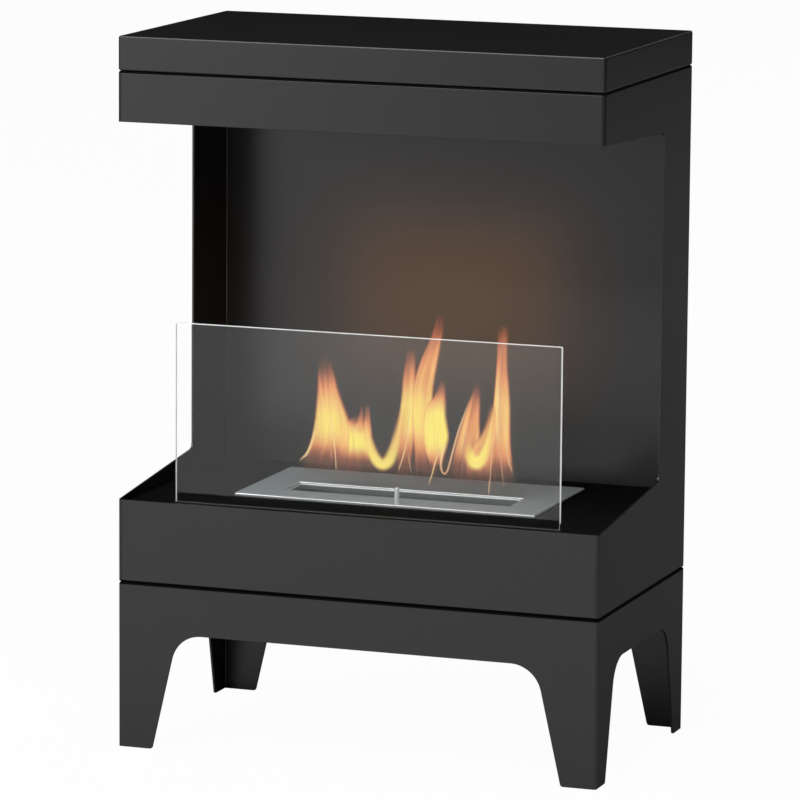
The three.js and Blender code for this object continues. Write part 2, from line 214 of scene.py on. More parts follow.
lamps = {
    "frontCeiling": {"at": (-0.6, -1.8, 2.8), "aim": (-0.5, -1.6, 0), "size": (3.0, 2.8), "power": 116},
    "backCeiling": {"at": (1.4, 4.2, 2.8), "aim": (1.4, 4.4, 0), "size": (3.0, 3.0), "power": 78},
    "frontSoftbox": {"at": (-1.9, -3.0, 0.95), "aim": (0, 0, 0.35), "size": (1.6, 1.3), "power": 15},
    "flameGlow": {
        "at": (-0.055, -0.04, 0.40), "aim": (-0.055, 0.14, 0.40), "size": (0.24, 0.17),
        "power": 0.079, "colour": (1, 0.42, 0.1), "spread": 110,
    },
}


def seenByCamera(tree):  # directly or through the pane
    path = put(tree, "ShaderNodeLightPath", (-600, 200))
    return anyOf(tree, [path.outputs["Is Camera Ray"], path.outputs["Is Transmission Ray"]], (-400, 200))


def makeWorld():
    world = bpy.data.worlds.new("studio")
    world.use_nodes = True
    bpy.context.scene.world = world
    tree = world.node_tree
    tree.nodes.clear()
    shades = []
    for strength in (stage["ambient"], stage["white"]):
        shade = put(tree, "ShaderNodeBackground", (-200, -200 * len(shades)))
        shade.inputs["Color"].default_value = (1, 1, 1, 1)
        shade.inputs["Strength"].default_value = strength
        shades.append(shade.outputs[0])
    output = put(tree, "ShaderNodeOutputWorld", (200, 0))
    join(tree, blended(tree, seenByCamera(tree), *shades, (0, 0)), output.inputs[0])


def makeFloor():
    half = stage["floorSize"] / 2
    corners = [(-half, -half, 0), (half, -half, 0), (half, half, 0), (-half, half, 0)]
    mesh = bpy.data.meshes.new("floor")
    mesh.from_pydata(corners, [], [(0, 1, 2, 3)])
    floor = newObject("floor", mesh)
    floor.location.z = -stage["floorDrop"]
    made = bpy.data.materials.new("paleFloor")
    made.use_nodes = True
    tree = made.node_tree
    tree.nodes.clear()
    matt = put(tree, "ShaderNodeBsdfDiffuse", (-400, -100))
    matt.inputs["Color"].default_value = (*stage["floorColour"], 1)
    white = put(tree, "ShaderNodeEmission", (-400, -250))
    white.inputs["Strength"].default_value = stage["white"]
    veiled = blended(tree, 1 - stage["shadowShare"], matt.outputs[0], white.outputs[0], (-200, -150))
    shown = blended(tree, seenByCamera(tree), matt.outputs[0], veiled, (0, 0))
    output = put(tree, "ShaderNodeOutputMaterial", (200, 0))
    join(tree, shown, output.inputs[0])
    mesh.materials.append(made)


def makeLamps():
    for name, lamp in lamps.items():
        data = bpy.data.lights.new(name, "AREA")
        data.shape = "RECTANGLE"
        data.size, data.size_y = lamp["size"]
        data.energy = lamp["power"]
        data.color = lamp.get("colour", (1, 1, 1))
        data.spread = math.radians(lamp.get("spread", 180))
        light = newObject(name, data)
        light.matrix_world = aimed(lamp["at"], lamp["aim"])
        light.visible_camera = False
        light.visible_transmission = False


makeCamera()
makeWorld()
makeFloor()
makeLamps()
print("stage: camera, floor and", len(lamps), "soft lamps")


# Node groups for effects that several finishes share

patterns = {
    "grainDetail": 3,
    "cloudDetail": 4,
    "grainShare": 0.35,  # of the grain in the tone, the clouds have the rest
    "lineDetail": 5,
    "lineRoughness": 0.65,
    "bendRange": (0.99, 0.93),  # of the normal's largest part, from flat to bent
    "uprightRange": (0.7, 0.2),  # of the normal's part along z, from lying to standing
}

skinInputs = [
    ("Tone", "NodeSocketColor", (0.5, 0.5, 0.5, 1)),
    ("Variation", "NodeSocketFloat", 0.1),
    ("Roughness", "NodeSocketFloat", 0.4),
    ("Roughness Spread", "NodeSocketFloat", 0.05),
]
skinOutputs = [("Color", "NodeSocketColor"), ("Roughness", "NodeSocketFloat"), ("Height", "NodeSocketFloat")]


def varied(tree, entry, leave, pattern):  # tone and roughness that swing with the pattern
    centred = reckon(tree, "SUBTRACT", pattern, 0.5, place=(-220, 100))
    swing = reckon(tree, "MULTIPLY_ADD", centred, entry.outputs["Variation"], 1, place=(-40, 150))
    tone = put(tree, "ShaderNodeVectorMath", (200, 150), operation="SCALE")
    join(tree, entry.outputs["Tone"], tone.inputs[0])
    join(tree, swing, tone.inputs["Scale"])
    spread, middle = entry.outputs["Roughness Spread"], entry.outputs["Roughness"]
    rough = reckon(tree, "MULTIPLY_ADD", centred, spread, middle, place=(200, -50))
    join(tree, tone.outputs[0], leave.inputs["Color"])
    join(tree, rough, leave.inputs["Roughness"])


def makeGrainGroup():  # fine pebbled skin, and the slow unevenness of a sprayed or rolled surface
    scales = [("Grain Scale", "NodeSocketFloat", 900), ("Cloud Scale", "NodeSocketFloat", 9)]
    tree, entry, leave = newGroup("fineGrain", [*scales, *skinInputs], skinOutputs)
    spot = put(tree, "ShaderNodeTexCoord", (-900, 300))
    noises = []
    for label, detail in (("Grain Scale", "grainDetail"), ("Cloud Scale", "cloudDetail")):
        noise = put(tree, "ShaderNodeTexNoise", (-600, 250 - 250 * len(noises)))
        noise.inputs["Detail"].default_value = patterns[detail]
        join(tree, spot.outputs["Object"], noise.inputs["Vector"])
        join(tree, entry.outputs[label], noise.inputs["Scale"])
        noises.append(noise.outputs["Fac"])
    grain, cloud = noises
    slow = reckon(tree, "MULTIPLY", cloud, 1 - patterns["grainShare"], place=(-420, -100))
    both = reckon(tree, "MULTIPLY_ADD", grain, patterns["grainShare"], slow, place=(-400, 100))
    varied(tree, entry, leave, both)
    join(tree, grain, leave.inputs["Height"])
    return tree


def makeBrushGroup():  # long fine lines of a brushed or turned metal surface
    stretch = ("Stretch", "NodeSocketVector", (8, 1400, 1400))
    tree, entry, leave = newGroup("brushLines", [stretch, *skinInputs], skinOutputs)
    spot = put(tree, "ShaderNodeTexCoord", (-1100, 300))
    drawn = put(tree, "ShaderNodeVectorMath", (-820, 300), operation="MULTIPLY")
    join(tree, spot.outputs["Object"], drawn.inputs[0])
    join(tree, entry.outputs["Stretch"], drawn.inputs[1])
    lines = put(tree, "ShaderNodeTexNoise", (-600, 250))
    lines.inputs["Scale"].default_value = 1
    lines.inputs["Detail"].default_value = patterns["lineDetail"]
    lines.inputs["Roughness"].default_value = patterns["lineRoughness"]
    join(tree, drawn.outputs[0], lines.inputs["Vector"])
    varied(tree, entry, leave, lines.outputs["Fac"])
    join(tree, lines.outputs["Fac"], leave.inputs["Height"])
    return tree


def makeBendMask():  # Bend is 1 on bends and rounded edges, Upright is 1 on faces that stand
    outputs = [("Bend", "NodeSocketFloat"), ("Upright", "NodeSocketFloat")]
    tree, entry, leave = newGroup("bendMask", [], outputs)
    spot = put(tree, "ShaderNodeTexCoord", (-900, 0))
    size = put(tree, "ShaderNodeVectorMath", (-700, 0), operation="ABSOLUTE")
    parts = put(tree, "ShaderNodeSeparateXYZ", (-500, 0))
    join(tree, spot.outputs["Normal"], size.inputs[0])
    join(tree, size.outputs[0], parts.inputs[0])
    largest = anyOf(tree, list(parts.outputs), (-300, 0))
    masks = (("Bend", "bendRange", largest), ("Upright", "uprightRange", parts.outputs["Z"]))
    for i, (label, limits, measure) in enumerate(masks):
        mask = put(tree, "ShaderNodeMapRange", (200, -300 * i))
        mask.inputs["From Min"].default_value, mask.inputs["From Max"].default_value = patterns[limits]
        join(tree, measure, mask.inputs["Value"])
        join(tree, mask.outputs[0], leave.inputs[label])
    return tree


fineGrain = makeGrainGroup()
brushLines = makeBrushGroup()
bendMask = makeBendMask()

lookNames = {  # the groups' inputs, and what a finish calls them
    "Grain Scale": "grainScale",
    "Cloud Scale": "cloudScale",
    "Stretch": "stretch",
    "Variation": "variation",
    "Roughness": "roughness",
    "Roughness Spread": "roughnessSpread",
}


def skinned(tree, group, look):
    values = {label: look[name] for label, name in lookNames.items() if name in look}
    return placed(tree, group, {"Tone": (*look["tone"], 1), **values})


def makeFinish(name, group, look):
    made, tree, shader = newMaterial(name)
    shader.inputs["Metallic"].default_value = look.get("metallic", 0)
    shader.inputs["Specular IOR Level"].default_value = look.get("specular", 0.5)
    shader.inputs["Specular Tint"].default_value = (*[look.get("edgeTint", 1)] * 3, 1)
    skin = skinned(tree, group, look)
    join(tree, skin.outputs["Color"], shader.inputs["Base Color"])
    join(tree, skin.outputs["Roughness"], shader.inputs["Roughness"])
    bump = put(tree, "ShaderNodeBump", (-250, -300))
    bump.inputs["Strength"].default_value = 1
    bump.inputs["Distance"].default_value = look["bumpHeight"]
    join(tree, skin.outputs["Height"], bump.inputs["Height"])
    join(tree, bump.outputs[0], shader.inputs["Normal"])
    return made


# Black powder coat on the sheet steel

powderCoat = {
    "tone": (0.0605, 0.0605, 0.061),
    "metallic": 0.9,
    "edgeTint": 0.5,  # what is left of the shine at a grazing angle
    "specular": 0.1,
    "roughness": 0.36,
    "roughnessSpread": 0.08,
    "variation": 0.12,
    "grainScale": 1100,
    "cloudScale": 7,
    "bumpHeight": 0.000002,
}


# Heatproof matt black on the floor of the fire chamber, made near-black as painted shade, and painted shade
# on the plates in the seams

mattBlackShade = {
    "tone": (0.003, 0.003, 0.003),
    "specular": 0.05,
    "roughness": 0.85,
    "roughnessSpread": 0.12,
    "variation": 0.25,
    "grainScale": 1300,
    "cloudScale": 12,
    "bumpHeight": 0.000002,
}


# Brushed stainless steel of the burner, its turned peg and the heat shield

burnerSteel = {
    "tone": (0.66, 0.735, 0.76),
    "metallic": 0.78,
    "roughness": 0.38,
    "roughnessSpread": 0.16,
    "variation": 0.22,
    "stretch": (10, 1700, 1700),  # lines run along x
    "bumpHeight": 0.000004,
    "bendRoughness": 0.15,
    # painted highlight: the bends get a lighter tone than the flat steel
    "bendHighlightTone": (0.72, 0.74, 0.75),
    "uprightShadeTone": (0.21, 0.215, 0.22),  # painted shade on the turned-down edges, darker than the brushed top
}
# painted reflection: a lighter, less metallic tone than the burner's steel makes the peg as bright as a
# reflection would
pegPaintedReflection = {
    **burnerSteel,
    "tone": (0.88, 0.90, 0.90),
    "metallic": 0.55,
    "roughness": 0.2,
    "stretch": (900, 900, 2600),
}
shieldSteel = {
    **burnerSteel,
    "tone": (0.40, 0.40, 0.40),
    "roughness": 0.4,
    "stretch": (12, 600, 600),
}


def makeBurnerSteel():  # smoother where the sheet is bent, with a painted highlight there and painted shade on upright faces
    made = makeFinish("brushedSteel", brushLines, burnerSteel)
    tree = made.node_tree
    shader = tree.nodes["Principled BSDF"]
    masks = placed(tree, bendMask, {}, (-500, -400))
    smoother = put(tree, "ShaderNodeMapRange", (-250, -100))
    join(tree, masks.outputs["Bend"], smoother.inputs["Value"])
    join(tree, shader.inputs["Roughness"].links[0].from_socket, smoother.inputs["To Min"])
    smoother.inputs["To Max"].default_value = burnerSteel["bendRoughness"]
    join(tree, smoother.outputs[0], shader.inputs["Roughness"])
    colour = shader.inputs["Base Color"].links[0].from_socket
    # painted shade on upright faces, then a painted highlight on the bends
    colour = tinted(tree, masks.outputs["Upright"], colour, burnerSteel["uprightShadeTone"], (-250, 250))
    colour = tinted(tree, masks.outputs["Bend"], colour, burnerSteel["bendHighlightTone"], (-50, 250))
    join(tree, colour, shader.inputs["Base Color"])
    return made


# Fittings that are out of sight in the photograph

zincPlate = {
    "tone": (0.52, 0.53, 0.56),
    "metallic": 0.95,
    "roughness": 0.38,
    "roughnessSpread": 0.3,
    "variation": 0.35,
    "grainScale": 700,
    "cloudScale": 160,
    "bumpHeight": 0.000006,
}
sealRubber = {
    "tone": (0.018, 0.018, 0.018),
    "specular": 0.3,
    "roughness": 0.85,
    "roughnessSpread": 0.1,
    "variation": 0.3,
    "grainScale": 500,
    "cloudScale": 40,
    "bumpHeight": 0.00003,
}
ceramicWool = {
    "tone": (0.78, 0.76, 0.71),
    "specular": 0.2,
    "roughness": 0.95,
    "roughnessSpread": 0.05,
    "variation": 0.4,
    "stretch": (240, 900, 500),
    "bumpHeight": 0.0005,
}

finishes = {
    "painted_steel": makeFinish("powderCoat", fineGrain, powderCoat),
    "burner_steel": makeBurnerSteel(),
    "shield_steel": makeFinish("shieldSteel", brushLines, shieldSteel),
    "zinc_steel": makeFinish("zincPlate", fineGrain, zincPlate),
    "seal_rubber": makeFinish("sealRubber", fineGrain, sealRubber),
    "ceramic_fibre": makeFinish("ceramicWool", brushLines, ceramicWool),
}
# plates seen in the seams, near-black as painted shade
seamShadePlates = ["casing_top_plate", "casing_bottom_plate", "leg_top_frame"]
ownFinishes = {
    **dict.fromkeys(["tray_floor", *seamShadePlates], makeFinish("mattBlackShade", fineGrain, mattBlackShade)),
    "cover_peg": makeFinish("turnedSteel", brushLines, pegPaintedReflection),
}


# The bends of the folded sheet are shaded smooth, and the cut edges named here are rounded

smoothing = {
    "creaseAngle": 32.0,
    "mergeDistance": 0.000002,
    "edgeAngle": 50.0,
    "edgeSegments": 3,
    "edgeRound": {
        "slide_cover": 0.0003, "burner_deck": 0.0003, "glass_channel": 0.0002, "tray_floor": 0.0003,
        "hood_front_panel": 0.0006, "base_front_panel": 0.0006, "leg_panel_front": 0.0006, "lid": 0.0003,
    },
}


def makeBendGroup():
    tree = bpy.data.node_groups.new("smoothBends", "GeometryNodeTree")
    for way in ("INPUT", "OUTPUT"):
        tree.interface.new_socket("Geometry", in_out=way, socket_type="NodeSocketGeometry")
    entry = put(tree, "NodeGroupInput", (-800, 0))
    leave = put(tree, "NodeGroupOutput", (600, 0))
    bare = put(tree, "GeometryNodeRemoveAttribute", (-600, 0))
    bare.inputs["Name"].default_value = "custom_normal"
    weld = put(tree, "GeometryNodeMergeByDistance", (-400, 0))
    weld.inputs["Distance"].default_value = smoothing["mergeDistance"]
    faces = put(tree, "GeometryNodeSetShadeSmooth", (-200, 0), domain="FACE")
    faces.inputs["Shade Smooth"].default_value = True
    edges = put(tree, "GeometryNodeSetShadeSmooth", (200, 0), domain="EDGE")
    angle = put(tree, "GeometryNodeInputMeshEdgeAngle", (-200, -300))
    gentle = put(tree, "FunctionNodeCompare", (0, -300), data_type="FLOAT", operation="LESS_EQUAL")
    gentle.inputs[1].default_value = math.radians(smoothing["creaseAngle"])
    join(tree, entry.outputs[0], bare.inputs["Geometry"])
    join(tree, bare.outputs["Geometry"], weld.inputs["Geometry"])
    join(tree, weld.outputs["Geometry"], faces.inputs["Geometry"])
    join(tree, faces.outputs["Geometry"], edges.inputs["Geometry"])
    join(tree, angle.outputs["Unsigned Angle"], gentle.inputs[0])
    join(tree, gentle.outputs["Result"], edges.inputs["Shade Smooth"])
    join(tree, edges.outputs["Geometry"], leave.inputs[0])
    return tree


def dressNodes():
    slots = {part["node"]: part["material_slot"] for part in frame["record"]["subparts"]}
    bends = makeBendGroup()
    for name, piece in nodes.items():
        if slots[name] not in finishes:
            continue
        piece.material_slots[0].link = "OBJECT"
        piece.material_slots[0].material = ownFinishes.get(name, finishes[slots[name]])
        piece.modifiers.new("bends", "NODES").node_group = bends
        if name in smoothing["edgeRound"]:
            rounded = piece.modifiers.new("edges", "BEVEL")
            rounded.width = smoothing["edgeRound"][name]
            rounded.segments = smoothing["edgeSegments"]
            rounded.limit_method = "ANGLE"
            rounded.angle_limit = math.radians(smoothing["edgeAngle"])
            rounded.harden_normals = True
        flats = piece.modifiers.new("flats", "WEIGHTED_NORMAL")  # keeps the flats flat beside a bend
        flats.keep_sharp = True
    return slots


nodeSlots = dressNodes()
print("finishes on", len(nodes), "nodes of", len(set(nodeSlots.values())), "kinds")


# Rounded shapes for the pane, its seal and the rims

def roundedRectangle(width, height, radius, steps):
    corners = [(1, 1, 0), (-1, 1, 90), (-1, -1, 180), (1, -1, 270)]
    points = []
    for sx, sz, start in corners:
        for i in range(steps + 1):
            turn = math.radians(start + 90 * i / steps)
            x = sx * (width / 2 - radius) + radius * math.cos(turn)
            z = sz * (height / 2 - radius) + radius * math.sin(turn)
            points.append((x, z))
    return points


def band(mesh, near, far):  # the faces between two closed rows of points
    corners = zip(near, near[1:] + near[:1], far[1:] + far[:1], far)
    return [mesh.faces.new(four) for four in corners]


def pieceFrom(mesh, name, materials):
    bmesh.ops.recalc_face_normals(mesh, faces=mesh.faces)
    data = bpy.data.meshes.new(name)
    mesh.to_mesh(data)
    mesh.free()
    for material in materials:
        data.materials.append(material)
    return newObject(name, data)


bead = {"sides": 12, "cornerSteps": 5}


def beadRing(name, hole, height, radius, material):  # a round bead that follows a rectangle
    left, front, right, back = hole
    middle = ((left + right) / 2, (front + back) / 2)
    mesh = bmesh.new()
    rings = []
    for i in range(bead["sides"]):
        turn = math.radians(360 / bead["sides"] * i)
        out, up = radius * math.cos(turn), radius * math.sin(turn)
        wide, deep = right - left + 2 * out, back - front + 2 * out
        outline = roundedRectangle(wide, deep, 2 * radius + out, bead["cornerSteps"])
        rings.append([mesh.verts.new((middle[0] + x, middle[1] + y, height + up)) for x, y in outline])
    for near, far in zip(rings, rings[1:] + rings[:1]):
        for face in band(mesh, near, far):
            face.smooth = True
    return pieceFrom(mesh, name, [material])


# Glass pane: clear faces, frosted ground edges

pane = {
    "cornerRadius": 1.2,  # mm, as all sizes here
    "cornerSteps": 4,
    "arris": 0.5,
    "ior": 1.37,
    "endFacing": 0.8,  # the ends are the faces whose normals lie further along x than this
    "edgeTone": (0.97, 0.985, 0.975),
    "edgeClearness": 0.1,
    "shadedTone": (0.10, 0.105, 0.10),  # the end that faces away from the light
    "shadedClearness": 0.3,
    "paintedGlow": 0.5,  # painted glow, as of light that the sheet carries to its other end
    "paintedShadeFoot": (16.0, 18.0),  # above the pane's foot: painted shade below, painted glow above
}
clearSkin = {
    "tone": (0.985, 0.995, 0.99),
    "variation": 0.01,
    "grainScale": 60,
    "cloudScale": 5,
}
groundSkin = {
    "roughness": 0.42,
    "roughnessSpread": 0.2,
    "variation": 0.12,
    "grainScale": 1500,
    "cloudScale": 60,
    "bumpHeight": 0.00001,
}


def makeClearGlass():
    made, tree, shader = newMaterial("clearGlass")
    shader.inputs["Transmission Weight"].default_value = 1
    shader.inputs["IOR"].default_value = pane["ior"]
    shader.inputs["Roughness"].default_value = 0
    skin = skinned(tree, fineGrain, clearSkin)
    join(tree, skin.outputs["Color"], shader.inputs["Base Color"])
    return made


def makeGroundEdge(name, tone, clearness):
    made = makeFinish(name, fineGrain, {**groundSkin, "tone": tone})
    shader = made.node_tree.nodes["Principled BSDF"]
    shader.inputs["Transmission Weight"].default_value = clearness
    shader.inputs["IOR"].default_value = pane["ior"]
    return made


def makePaintedGlowEnd(foot):  # painted glow, as of light that the sheet carries, and painted shade at its foot
    made = makeGroundEdge("brightGlassEdge", pane["edgeTone"], pane["edgeClearness"])
    tree = made.node_tree
    shader = tree.nodes["Principled BSDF"]
    spot = put(tree, "ShaderNodeTexCoord", (-900, -600))
    parts = put(tree, "ShaderNodeSeparateXYZ", (-700, -600))
    rise = put(tree, "ShaderNodeMapRange", (-500, -600))
    start, end = pane["paintedShadeFoot"]
    rise.inputs["From Min"].default_value = foot + start * mm
    rise.inputs["From Max"].default_value = foot + end * mm
    shades = ramp(tree, [(0, (0, 0, 0)), (1, pane["edgeTone"])], (-300, -600))
    join(tree, spot.outputs["Object"], parts.inputs[0])
    join(tree, parts.outputs["Z"], rise.inputs["Value"])
    join(tree, rise.outputs[0], shades.inputs[0])
    join(tree, shades.outputs[0], shader.inputs["Emission Color"])
    join(tree, shades.outputs[0], shader.inputs["Base Color"])
    shader.inputs["Emission Strength"].default_value = pane["paintedGlow"]
    return made


def makePane():
    low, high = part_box("glass_pane")
    centre = (low + high) / 2
    size = high - low
    arris = pane["arris"] * mm
    radius = pane["cornerRadius"] * mm
    half = size.y / 2
    # rings from the front face round the edge to the back face: (y, inset)
    rings = [(-half, arris), (-half + arris, 0.0), (half - arris, 0.0), (half, arris)]
    mesh = bmesh.new()
    loops = []
    for y, inset in rings:
        outline = roundedRectangle(size.x - 2 * inset, size.z - 2 * inset, radius, pane["cornerSteps"])
        loops.append([mesh.verts.new((centre.x + x, centre.y + y, centre.z + z)) for x, z in outline])
    clear, ground, shaded, bright = range(4)  # the materials below, in their order
    for near, far in zip(loops, loops[1:]):
        for face in band(mesh, near, far):
            face.normal_update()
            if abs(face.normal.x) <= pane["endFacing"]:
                face.material_index = ground
            elif face.verts[0].co.x < centre.x:
                face.material_index = shaded
            else:
                face.material_index = bright
    for flat in (loops[0], loops[-1][::-1]):
        mesh.faces.new(flat).material_index = clear
    piece = pieceFrom(mesh, "glass_pane_ground", [
        makeClearGlass(),
        makeGroundEdge("groundGlassEdge", pane["edgeTone"], pane["edgeClearness"]),
        makeGroundEdge("shadedGlassEdge", pane["shadedTone"], pane["shadedClearness"]),
        makePaintedGlowEnd(low.z),
    ])
    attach(piece, "glass")
    piece.visible_shadow = False  # clear glass lets the lamps through
    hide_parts("glass_pane")


# Seal bead on the tray floor, round the pane's foot

seal = {
    "radius": 0.4,  # mm, as its clearance
    "clearance": 0.1,
    "tone": (0.022, 0.022, 0.022),
    "roughness": 0.4,
    "roughnessSpread": 0.1,
    "variation": 0.3,
    "grainScale": 400,
    "cloudScale": 30,
    "bumpHeight": 0.00001,
}


def makeSeal():
    low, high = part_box("glass_pane")
    radius = seal["radius"] * mm
    reach = radius + seal["clearance"] * mm
    hole = (low.x - reach, low.y - reach, high.x + reach, high.y + reach)
    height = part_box("tray_floor")[1].z + radius
    piece = beadRing("glass_seal_bead", hole, height, radius, makeFinish("glassSeal", fineGrain, seal))
    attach(piece, "casing")


makePane()
makeSeal()
print("glass pane with ground edges, and its seal")


# Rims: the rolled edges of the cover's slot and of the burner's mouth, polished, with a near-white tone as a
# painted highlight

rims = {
    "sheets": {"slide_cover": ("slot_rim", "cover", 0.82), "burner_deck": ("mouth_rim", "burner", 0.7)},
    "margin": 10.0,  # mm, from the outer edge of the sheet to where its opening may start
    "depth": 0.1,  # mm, what counts as the sheet's top face
}
# painted highlight: near-white, brighter than the burner's steel
rimPaintedHighlight = {**burnerSteel, "tone": (0.96, 0.98, 0.99), "roughness": 0.12}


def openingOf(node):  # the rectangle of the opening in the top face of a node
    low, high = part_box(node)
    centre = (low + high) / 2
    room = (high - low) / 2 - Vector((1, 1, 0)) * rims["margin"] * mm
    spots = [nodes[node].matrix_world @ vertex.co for vertex in nodes[node].data.vertices]
    inside = [
        spot for spot in spots
        if spot.z > high.z - rims["depth"] * mm
        and abs(spot.x - centre.x) < room.x
        and abs(spot.y - centre.y) < room.y
    ]
    across, along = [spot.x for spot in inside], [spot.y for spot in inside]
    return min(across), min(along), max(across), max(along)


def makeRims():
    material = makeFinish("rimPaintedHighlight", brushLines, rimPaintedHighlight)
    for node, (name, body, radius) in rims["sheets"].items():
        radius *= mm
        piece = beadRing(name, openingOf(node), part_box(node)[1].z - radius, radius, material)
        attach(piece, body)


makeRims()
print("polished rims on", len(rims["sheets"]), "openings")


# Flames: soft upright sheets over the slot, crossed by narrower ones, with thin pale threads before them

flames = {
    "bow": 2.5,  # mm, as all sizes here
    "grow": 0.62,  # of the soft edge, added outside each rung
    "footFade": (256.0, 290.0),
    "thinnest": 0.3,  # half width
    "depthShare": 0.62,  # of a lick's half width, for the sheet that crosses it
    "shallowest": 1.2,
    "deepest": 9.0,
    "crossDensity": 0.2,
    "threadSoft": 2.0,
    "threadY": -7.0,
    "threadLayers": 3,  # taken in turn, 1 mm apart
    "columns": {"lick": 21, "crossing": 11, "thread": 9},
    "rows": {"lick": 4, "thread": 5},  # from one rung or station to the next
    "brightness": 1.0,
    "mirrored": 0.15,  # how much of the flames other surfaces pick up
    "streakScale": (0.17, 0.014, 3.7),  # across, upwards, and from sheet to sheet
    "streakDetail": 2,
    "streakHeat": 0.5,
    "streakAlpha": 0.4,
    "rimCooling": 0.42,
    "cream": (246, 216, 178),
    "threadCream": 0.45,
    "colours": [
        (0.0, (104, 78, 62)),
        (0.2, (176, 106, 82)),
        (0.42, (236, 154, 104)),
        (0.68, (247, 198, 122)),
        (1.0, (252, 232, 120)),
    ],
}

